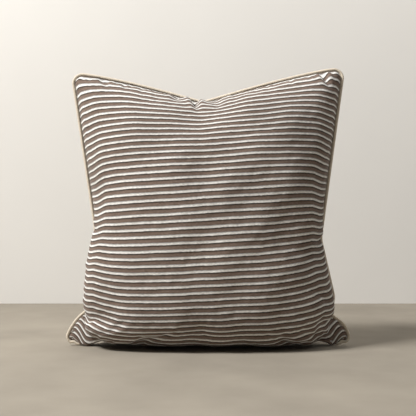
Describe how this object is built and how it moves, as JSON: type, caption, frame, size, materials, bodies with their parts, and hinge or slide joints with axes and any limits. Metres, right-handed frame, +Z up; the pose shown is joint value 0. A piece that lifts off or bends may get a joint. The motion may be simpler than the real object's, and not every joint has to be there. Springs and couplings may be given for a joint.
{
  "type": "throw pillow",
  "caption": "Square striped throw pillow with a corded edge: a zipped cover over a stuffed insert, standing on its bottom edge.",
  "frame": {"origin": "on the surface it stands on, under the middle of the cushion", "axes": "+Z up, +X to the right seen from the front, the front faces -Y and the seam lies in y = 0"},
  "size_m": [0.4997, 0.204, 0.488],
  "materials": {
    "striped_cloth": "woven cotton stripe",
    "filler_cord": "twisted cotton",
    "bias_strip": "plain cotton",
    "thread": "spun polyester",
    "zip_tape": "woven polyester tape",
    "zip_teeth": "nylon coil",
    "zip_metal": "satin",
    "insert_cotton": "close white cambric",
    "fibre_fill": "lofty polyester fibre"
  },
  "bodies": {
    "cushion": {"front_panel": "striped_cloth", "back_panel": "striped_cloth", "piping_cord": "filler_cord", "piping_cover": "bias_strip", "seam_thread": "thread", "zip_tape_front": "zip_tape", "zip_tape_back": "zip_tape", "zip_teeth_front": "zip_teeth", "zip_teeth_back": "zip_teeth", "zip_top_stops": "zip_metal", "zip_bottom_stop": "zip_metal", "zip_thread": "thread", "insert_front": "insert_cotton", "insert_back": "insert_cotton", "insert_fill": "fibre_fill"},
    "slider": {"zip_slider": "zip_metal"},
    "pull": {"zip_pull": "zip_metal"}
  },
  "joints": [
    {"name": "zip_slide", "type": "slide", "parent": "cushion", "child": "slider", "axis": [1, 0, 0], "range_m": [0, 0.339]},
    {"name": "pull_hinge", "type": "hinge", "parent": "slider", "child": "pull", "pos_m": [-0.1695, 0.0063, 0.0165], "axis": [0, 1, 0], "range_deg": [0, 178]}
  ]
}
